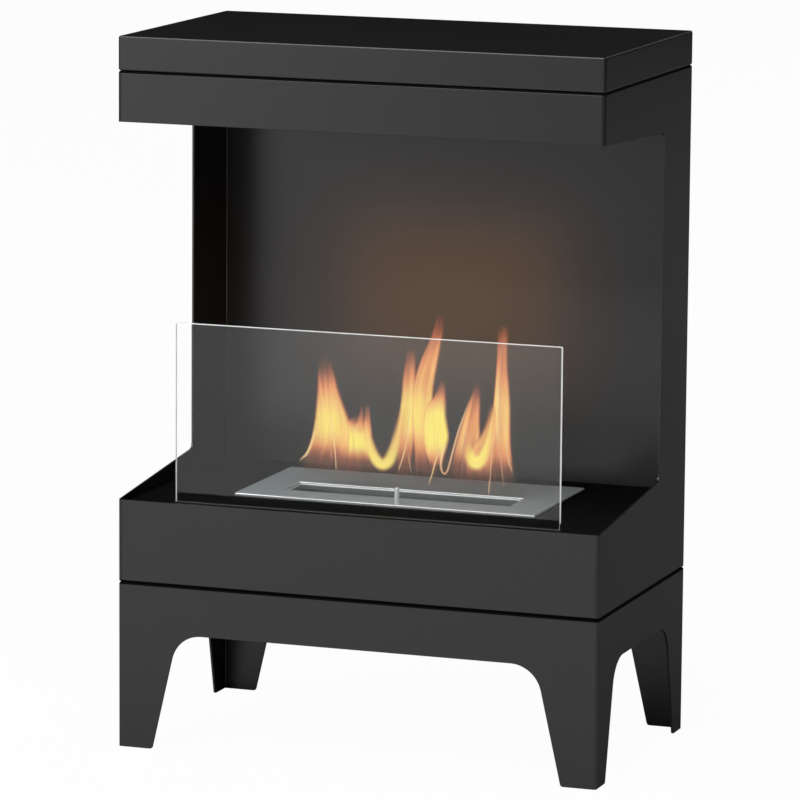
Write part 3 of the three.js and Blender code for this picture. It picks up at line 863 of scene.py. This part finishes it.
# each lick: its y, its soft edge, then rungs from the foot up (z, left x, right x, heat, density)
licks = {
    "haze": (0, 14, [
        (247.5, -104, 106, 0.0, 0.02), (258, -106, 110, 0.0, 0.03), (266, -106, 112, 0.0, 0.14),
        (273, -106, 114, 0.02, 0.32), (281, -104, 114, 0.04, 0.3), (290, -101, 112, 0.06, 0.15),
        (298, -99, 110, 0.06, 0.0)]),
    "farLeft": (-3, 5, [
        (250, -103, -64, 0.0, 0.02), (264, -104, -62, 0.0, 0.2), (272, -106, -61, 0.04, 0.36),
        (280, -105.5, -60, 0.14, 0.52), (288, -101.5, -59.5, 0.3, 0.7), (298, -97.4, -59, 0.62, 0.88),
        (310, -94.4, -59, 0.84, 0.97), (322, -92.8, -61, 0.86, 0.98), (334, -91.6, -65, 0.72, 0.96),
        (346, -91, -69, 0.52, 0.92), (357, -91, -71.6, 0.36, 0.84), (366, -91, -73.4, 0.22, 0.62),
        (374, -90.4, -75.6, 0.14, 0.34), (384, -89.4, -78, 0.08, 0.0)]),
    "leftShoulder": (1, 6, [
        (266, -72, -54, 0.05, 0.0), (276, -72, -54, 0.12, 0.35), (288, -71, -55, 0.26, 0.6),
        (300, -71, -55, 0.4, 0.75), (312, -71, -55.5, 0.42, 0.82), (320, -71, -59, 0.36, 0.78),
        (330, -71, -63, 0.28, 0.66), (342, -72, -67, 0.2, 0.4), (352, -72, -69, 0.15, 0.0)]),
    "block": (-1, 5, [
        (262, -66, -35, 0.0, 0.1), (272, -67, -34, 0.05, 0.4), (280, -67, -34.5, 0.2, 0.5),
        (287, -67.5, -35, 0.55, 0.72), (294, -68, -36, 0.95, 0.93), (302, -68, -36.5, 1.0, 0.98),
        (309, -68, -37, 0.9, 0.95), (315, -64, -38, 0.6, 0.85), (320, -58, -39, 0.35, 0.5),
        (326, -53, -41, 0.25, 0.0)]),
    "blockPeak": (-2, 3, [
        (306, -51, -42, 0.6, 0.0), (314, -50, -42, 0.5, 0.6), (323, -47.8, -42.2, 0.32, 0.65),
        (330, -46.6, -42.4, 0.2, 0.45), (338, -46, -42.6, 0.12, 0.0)]),
    "blockHorn": (-3, 3, [
        (300, -43, -34.5, 0.9, 0.0), (310, -42, -34, 0.75, 0.7), (320, -41, -34.8, 0.5, 0.75),
        (329, -40.4, -35.2, 0.34, 0.5), (339, -40, -35.6, 0.2, 0.0)]),
    "middle": (2, 4.5, [
        (264, -6, 5, 0.0, 0.14), (274, -7, 6, 0.08, 0.36), (286, -8, 8, 0.26, 0.6),
        (300, -8.5, 9, 0.46, 0.82), (314, -6.6, 10, 0.76, 0.95), (328, -4.8, 10.6, 0.9, 0.97),
        (342, -3.4, 11, 0.9, 0.97), (354, -2.4, 11, 0.68, 0.95), (366, -2, 10.8, 0.44, 0.9),
        (377, -0.8, 10.8, 0.28, 0.78), (386, 0.4, 11, 0.17, 0.48), (397, 1.6, 11, 0.08, 0.0)]),
    "tall": (-2, 4.5, [
        (262, 12, 34, 0.0, 0.14), (270, 12, 35, 0.02, 0.34), (279, 12, 36, 0.1, 0.52),
        (290, 11.5, 36.5, 0.28, 0.7), (302, 11, 36, 0.52, 0.88), (316, 10.2, 34.5, 0.74, 0.98),
        (331, 9.8, 32, 0.82, 0.98), (345, 9.8, 29.8, 0.76, 0.97), (355, 10.4, 29.6, 0.64, 0.95),
        (366, 12.2, 31, 0.56, 0.94), (377, 15.2, 33, 0.52, 0.94), (388, 19, 35, 0.46, 0.93),
        (399, 23.6, 37, 0.37, 0.9), (409, 27.6, 38.6, 0.27, 0.84), (418, 30.4, 40.2, 0.18, 0.62),
        (426, 32.4, 41.4, 0.12, 0.36), (434, 34, 41.8, 0.08, 0.0)]),
    "shoulder": (-5, 5, [
        (282, 29, 42, 0.25, 0.35), (291, 26, 43, 0.55, 0.78), (300, 24, 45.4, 0.88, 0.93),
        (311, 23, 47.4, 1.0, 0.98), (321, 23, 46, 1.0, 0.98), (333, 24.5, 44, 0.94, 0.97),
        (342, 27.6, 44, 0.7, 0.92), (350, 32.6, 44.4, 0.45, 0.82), (358, 36.8, 44.8, 0.28, 0.52),
        (369, 39.8, 45, 0.15, 0.0)]),
    "leaning": (3, 4.5, [
        (264, 50, 72, 0.0, 0.14), (273, 49, 72, 0.06, 0.36), (283, 50.2, 73, 0.22, 0.54),
        (294, 52.4, 75, 0.44, 0.76), (306, 55.4, 77, 0.54, 0.88), (317, 58.4, 77.6, 0.54, 0.94),
        (328, 61.6, 77.4, 0.5, 0.94), (339, 65.2, 77.8, 0.42, 0.9), (350, 69, 78.2, 0.3, 0.78),
        (358, 71.2, 78.4, 0.18, 0.46), (368, 72.6, 78.2, 0.1, 0.0)]),
    "basin": (-3, 8, [
        (262, 66, 92, 0.0, 0.1), (270, 66, 93, 0.05, 0.4), (277, 66, 94, 0.2, 0.6),
        (284, 67, 94, 0.35, 0.75), (293, 69, 95, 0.5, 0.8), (301, 73, 95.6, 0.55, 0.86),
        (308, 78, 96, 0.6, 0.88), (316, 84, 96.6, 0.6, 0.86), (325, 88.4, 97, 0.6, 0.82),
        (336, 91.6, 98, 0.55, 0.6), (348, 93, 99, 0.5, 0.0)]),
    "farRight": (1, 4, [
        (256, 95, 110, 0.0, 0.02), (266, 93, 113, 0.0, 0.2), (275, 93, 114.6, 0.06, 0.38),
        (284, 93, 114.4, 0.2, 0.6), (294, 93, 112.6, 0.38, 0.84), (306, 93, 111.2, 0.52, 0.94),
        (320, 93, 110.3, 0.62, 0.97), (334, 93.4, 110, 0.66, 0.97), (348, 94.2, 109.6, 0.66, 0.97),
        (362, 95.2, 108.8, 0.58, 0.95), (376, 96, 107.8, 0.48, 0.93), (390, 96.6, 107.2, 0.38, 0.9),
        (403, 96.6, 107.4, 0.28, 0.84), (412, 96.6, 107.6, 0.2, 0.7), (419, 96.8, 107.6, 0.13, 0.45),
        (427, 97.4, 107.2, 0.08, 0.0)]),
}

# bright pools and thin threads: stations along each (x, z, half width, heat, density)
pools = {
    "basinGlow": [
        (70, 312, 4.5, 0.5, 0.0), (70.6, 302, 7.5, 0.8, 0.5), (73, 293, 9.5, 1.0, 0.85),
        (78, 287.5, 10.5, 1.0, 0.97), (84, 292, 9.5, 1.0, 0.96), (88.6, 302, 7.5, 0.95, 0.94),
        (92, 315, 5.5, 0.85, 0.9), (94.6, 330, 3.6, 0.75, 0.7), (96.4, 346, 2.4, 0.7, 0.0)],
    "trough": [
        (-37.6, 326, 2.6, 0.5, 0.0), (-36.8, 316, 4.6, 0.66, 0.6), (-34.8, 303, 6.8, 0.82, 0.92),
        (-30.6, 290, 8.0, 0.96, 0.97), (-25, 281.6, 8.4, 1.0, 0.98), (-19, 279.4, 8.4, 1.0, 0.98),
        (-13, 283.8, 8.2, 1.0, 0.97), (-8.2, 294.6, 7.6, 0.9, 0.95), (-4.6, 308, 6.8, 0.8, 0.9),
        (-1.4, 324, 5.4, 0.78, 0.7), (1, 342, 4.0, 0.75, 0.0)],
}
threads = {
    "leftRim": [
        (-109, 275.5, 1.0, 0.5, 0.0), (-106, 279.2, 1.6, 0.75, 0.5), (-100.6, 284.6, 2.2, 0.9, 0.8),
        (-96, 295, 2.2, 0.95, 0.75), (-93, 306, 2.1, 0.95, 0.55), (-91, 320, 1.6, 0.9, 0.0)],
    "leftVein": [
        (-70, 268, 0.8, 0.5, 0.0), (-70.2, 274, 1.1, 0.7, 0.6), (-71.4, 290, 1.2, 0.8, 0.75),
        (-74, 306, 1.4, 0.95, 0.7), (-76, 322, 1.6, 0.95, 0.5), (-77.4, 340, 1.4, 0.8, 0.0)],
    "leftVeinShort": [
        (-74.6, 278, 0.7, 0.4, 0.0), (-75.2, 288, 1.0, 0.4, 0.5), (-76.4, 300, 0.9, 0.5, 0.0)],
    "middleVein": [
        (-3, 273, 0.8, 0.5, 0.0), (-1.6, 278, 1.0, 0.66, 0.6), (3.4, 294.5, 1.2, 0.8, 0.75),
        (6.7, 311.5, 1.3, 0.9, 0.75), (8, 328, 1.8, 1.0, 0.7), (9, 346, 1.8, 1.0, 0.0)],
    "middleFoot": [
        (6.4, 296, 0.7, 0.4, 0.0), (7.4, 286, 0.9, 0.55, 0.5), (8.8, 278, 0.9, 0.5, 0.5),
        (11.2, 268.6, 0.7, 0.4, 0.0)],
    "shoulderFoot": [
        (40.4, 301, 0.9, 0.7, 0.0), (38.8, 295.5, 1.2, 0.74, 0.75), (35.1, 283.3, 1.2, 0.8, 0.8),
        (32.4, 273, 1.2, 0.8, 0.65), (29.6, 264.6, 1.2, 0.8, 0.4), (28.2, 259.5, 0.9, 0.6, 0.0)],
    "loop": [
        (46.6, 309, 1.4, 0.95, 0.0), (44.6, 300, 2.2, 0.9, 0.8), (42.2, 290, 2.2, 0.8, 0.9),
        (41.8, 281.5, 1.9, 0.66, 0.85), (43.4, 276, 1.7, 0.56, 0.8), (46, 274.2, 1.7, 0.5, 0.8),
        (48.8, 277.6, 1.8, 0.5, 0.8), (51.6, 287, 1.9, 0.6, 0.8), (55.4, 302, 1.9, 0.66, 0.8),
        (60.6, 320, 1.8, 0.62, 0.75), (67.4, 339, 1.6, 0.5, 0.5), (72.6, 354, 1.0, 0.3, 0.0)],
    "leaningVein": [
        (70, 330, 0.8, 0.2, 0.0), (66.6, 314, 1.2, 0.2, 0.4), (64.2, 296, 1.2, 0.3, 0.45),
        (63.4, 276, 0.9, 0.3, 0.0)],
    "rightFoot": [
        (97, 326, 0.9, 0.6, 0.0), (95.8, 309, 1.3, 0.7, 0.7), (94.4, 291, 1.1, 0.7, 0.7),
        (93.4, 274, 1.0, 0.66, 0.5), (92.2, 262, 1.3, 0.66, 0.55), (91.4, 254, 1.0, 0.5, 0.0)],
    "rightVein": [
        (103.4, 396, 0.8, 0.3, 0.0), (103.2, 376, 1.1, 0.24, 0.5), (103.4, 350, 1.2, 0.26, 0.55),
        (104, 320, 1.2, 0.3, 0.5), (104.8, 290, 1.1, 0.4, 0.45), (107.4, 271, 1.1, 0.4, 0.25),
        (108.2, 262, 0.8, 0.3, 0.0)],
    "rightCore": [
        (100, 386, 1.0, 0.7, 0.0), (99.6, 366, 1.7, 0.86, 0.7), (99.4, 344, 2.0, 0.95, 0.8),
        (99.6, 322, 1.9, 0.95, 0.7), (99.6, 300, 1.2, 0.8, 0.0)],
    "rightToe": [
        (109.6, 316, 1.0, 0.6, 0.0), (110.8, 300, 1.5, 0.7, 0.6), (113, 289, 1.7, 0.76, 0.6),
        (115.6, 283, 1.5, 0.7, 0.4), (116.4, 278, 1.0, 0.5, 0.0)],
}


def held(value):  # between 0 and 1
    return min(1, max(0, value))


def eased(rows, steps):  # a smooth run of numbers through each column of the rows
    ends = [rows[0], *rows, rows[-1]]
    fine = []
    for before, here, after, later in zip(ends, ends[1:], ends[2:], ends[3:]):
        for i in range(steps):
            t = i / steps
            row = []
            for p, q, r, s in zip(before, here, after, later):
                square, cube = 2 * p - 5 * q + 4 * r - s, 3 * q - p - 3 * r + s
                row.append(0.5 * (2 * q + (r - p) * t + square * t ** 2 + cube * t ** 3))
            fine.append(row)
    return fine + [list(rows[-1])]


def addPatch(sheet, rows):
    start, wide = len(sheet["spots"]), len(rows[0])
    for row in rows:
        for spot, values in row:
            sheet["spots"].append([v * mm for v in spot])
            sheet["values"].append(values)
    for i in range(len(rows) - 1):
        for j in range(wide - 1):
            a = start + i * wide + j
            sheet["faces"].append((a, a + 1, a + wide + 1, a + wide))


def acrossSteps(kind):  # from -1 to 1, closer together at both edges
    count = flames["columns"][kind]
    return [-math.cos(math.pi * i / (count - 1)) for i in range(count)]


def fadeIn(value, start, end):
    t = held((value - start) / (end - start))
    return t * t * (3 - 2 * t)


def lickPatches(sheet, crossing, y, soft, rungs, seed):
    front, side = [], []
    for z, left, right, heat, density in eased(rungs, flames["rows"]["lick"]):
        left -= flames["grow"] * soft
        right += flames["grow"] * soft
        middle, half = (left + right) / 2, max(flames["thinnest"], (right - left) / 2)
        deep = min(flames["deepest"], max(flames["shallowest"], half * flames["depthShare"]))
        heat, density = held(heat), held(density)
        if crossing:
            density *= fadeIn(z, *flames["footFade"])
        row, crossRow = [], []
        for u in acrossSteps("lick"):
            near = min(1, (1 - abs(u)) * half / min(soft, half))
            spot = (middle + u * half, y - flames["bow"] * (1 - u * u), z)
            row.append((spot, (heat, density, near, (u * half, z, seed))))
        for u in acrossSteps("crossing"):
            near = 1 - abs(u)
            faint = density * flames["crossDensity"]
            crossRow.append(((middle, y + u * deep, z), (heat, faint, near, (u * deep, z, seed + 0.5))))
        front.append(row)
        side.append(crossRow)
    addPatch(sheet, front)
    if crossing:
        addPatch(sheet, side)


def threadPatch(sheet, stations, seed):
    fine = eased(stations, flames["rows"]["thread"])
    rows = []
    length = 0
    soft = flames["threadSoft"] + max(half for _, _, half, _, _ in stations) / 2
    y = flames["threadY"] - seed % flames["threadLayers"]
    for i, (x, z, half, heat, density) in enumerate(fine):
        before, after = fine[max(0, i - 1)], fine[min(len(fine) - 1, i + 1)]
        run, rise = after[0] - before[0], after[1] - before[1]
        step = math.hypot(run, rise) or 1
        length += step / 2
        half = max(flames["thinnest"], half)
        row = []
        for u in acrossSteps("thread"):
            spot = (x + u * half * rise / step, y, z - u * half * run / step)
            near = min(1, (1 - abs(u)) * half / min(soft, half))
            row.append((spot, (held(heat), held(density), near, (u * half, length, seed))))
        rows.append(row)
    addPatch(sheet, rows)


def makeFlameGroup():
    tree, entry, leave = newGroup(
        "flameBody",
        [
            ("Streak Heat", "NodeSocketFloat", 0.4),
            ("Streak Alpha", "NodeSocketFloat", 0.5),
            ("Rim Cooling", "NodeSocketFloat", 0.3),
            ("Paleness", "NodeSocketFloat", 0),
        ],
        [("Color", "NodeSocketColor"), ("Alpha", "NodeSocketFloat")],
    )
    warmth, fullness, nearness, flow = (
        put(tree, "ShaderNodeAttribute", (-1100, 300 - 180 * i), attribute_name=name)
        for i, name in enumerate(("warmth", "fullness", "nearness", "flow"))
    )
    drawn = put(tree, "ShaderNodeVectorMath", (-880, -260), operation="MULTIPLY")
    drawn.inputs[1].default_value = flames["streakScale"]
    join(tree, flow.outputs["Vector"], drawn.inputs[0])
    streak = put(tree, "ShaderNodeTexNoise", (-700, -260))
    streak.inputs["Scale"].default_value = 1
    streak.inputs["Detail"].default_value = flames["streakDetail"]
    join(tree, drawn.outputs[0], streak.inputs["Vector"])
    centred = reckon(tree, "SUBTRACT", streak.outputs["Fac"], 0.5, place=(-520, -260))
    soft = put(tree, "ShaderNodeMapRange", (-700, 0), interpolation_type="SMOOTHSTEP")
    join(tree, nearness.outputs["Fac"], soft.inputs["Value"])
    streakHeat, streakAlpha = entry.outputs["Streak Heat"], entry.outputs["Streak Alpha"]
    warm = reckon(tree, "MULTIPLY_ADD", centred, streakHeat, warmth.outputs["Fac"], place=(-340, 200))
    outer = reckon(tree, "SUBTRACT", 1, soft.outputs[0], place=(-520, 60))
    loss = reckon(tree, "MULTIPLY", outer, entry.outputs["Rim Cooling"], place=(-340, 40))
    cooled = reckon(tree, "SUBTRACT", warm, loss, place=(-160, 150), clamped=True)
    colours = ramp(tree, [(at, linear(*shade)) for at, shade in flames["colours"]], (20, 150))
    join(tree, cooled, colours.inputs[0])
    pale = tinted(
        tree, entry.outputs["Paleness"], colours.outputs[0], linear(*flames["cream"]), (350, 150)
    )
    swing = reckon(tree, "MULTIPLY_ADD", centred, streakAlpha, 1, place=(-340, -260))
    body = reckon(tree, "MULTIPLY", fullness.outputs["Fac"], soft.outputs[0], place=(-160, -120))
    alpha = reckon(tree, "MULTIPLY", body, swing, place=(20, -160), clamped=True)
    join(tree, pale, leave.inputs["Color"])
    join(tree, alpha, leave.inputs["Alpha"])
    return tree


def makeFlame(name, group, paleness):
    made, tree, shader = newMaterial(name)
    shader.inputs["Base Color"].default_value = (0, 0, 0, 1)
    shader.inputs["Roughness"].default_value = 1
    shader.inputs["Specular IOR Level"].default_value = 0
    shader.inputs["Emission Strength"].default_value = flames["brightness"]
    values = {
        "Streak Heat": flames["streakHeat"],
        "Streak Alpha": flames["streakAlpha"],
        "Rim Cooling": flames["rimCooling"],
        "Paleness": paleness,
    }
    body = placed(tree, group, values)
    join(tree, body.outputs["Color"], shader.inputs["Emission Color"])
    path = put(tree, "ShaderNodeLightPath", (-900, -300))
    mirrored = path.outputs["Is Reflection Ray"]
    share = reckon(tree, "MULTIPLY_ADD", mirrored, flames["mirrored"] - 1, 1, place=(-500, -300))
    alpha = reckon(tree, "MULTIPLY", body.outputs["Alpha"], share, place=(-250, -200))
    join(tree, alpha, shader.inputs["Alpha"])
    return made


def flamePiece(name, sheet, material):
    mesh = bpy.data.meshes.new(name)
    mesh.from_pydata(sheet["spots"], [], sheet["faces"])
    for i, label in enumerate(("warmth", "fullness", "nearness")):
        layer = mesh.attributes.new(label, "FLOAT", "POINT")
        layer.data.foreach_set("value", [values[i] for values in sheet["values"]])
    flow = mesh.attributes.new("flow", "FLOAT_VECTOR", "POINT")
    flow.data.foreach_set("vector", [v for values in sheet["values"] for v in values[3]])
    mesh.materials.append(material)
    piece = newObject(name, mesh)
    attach(piece, "burner")
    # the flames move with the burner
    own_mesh(piece)


def makeFlames():
    group = makeFlameGroup()
    tongues = {"spots": [], "values": [], "faces": []}
    veins = {"spots": [], "values": [], "faces": []}
    for seed, (name, (y, soft, rungs)) in enumerate(licks.items()):
        lickPatches(tongues, name != "haze", y, soft, rungs, seed)
    for seed, stations in enumerate(pools.values(), 40):
        threadPatch(tongues, stations, seed)
    for seed, stations in enumerate(threads.values(), 20):
        threadPatch(veins, stations, seed)
    flamePiece("flame_tongues", tongues, makeFlame("flame", group, 0))
    flamePiece("flame_threads", veins, makeFlame("paleFlame", group, flames["threadCream"]))


makeFlames()
print("flames:", len(licks), "licks,", len(pools), "pools and", len(threads), "threads")


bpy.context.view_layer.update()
view = bpy.context.scene.view_settings
view.view_transform = "Standard"
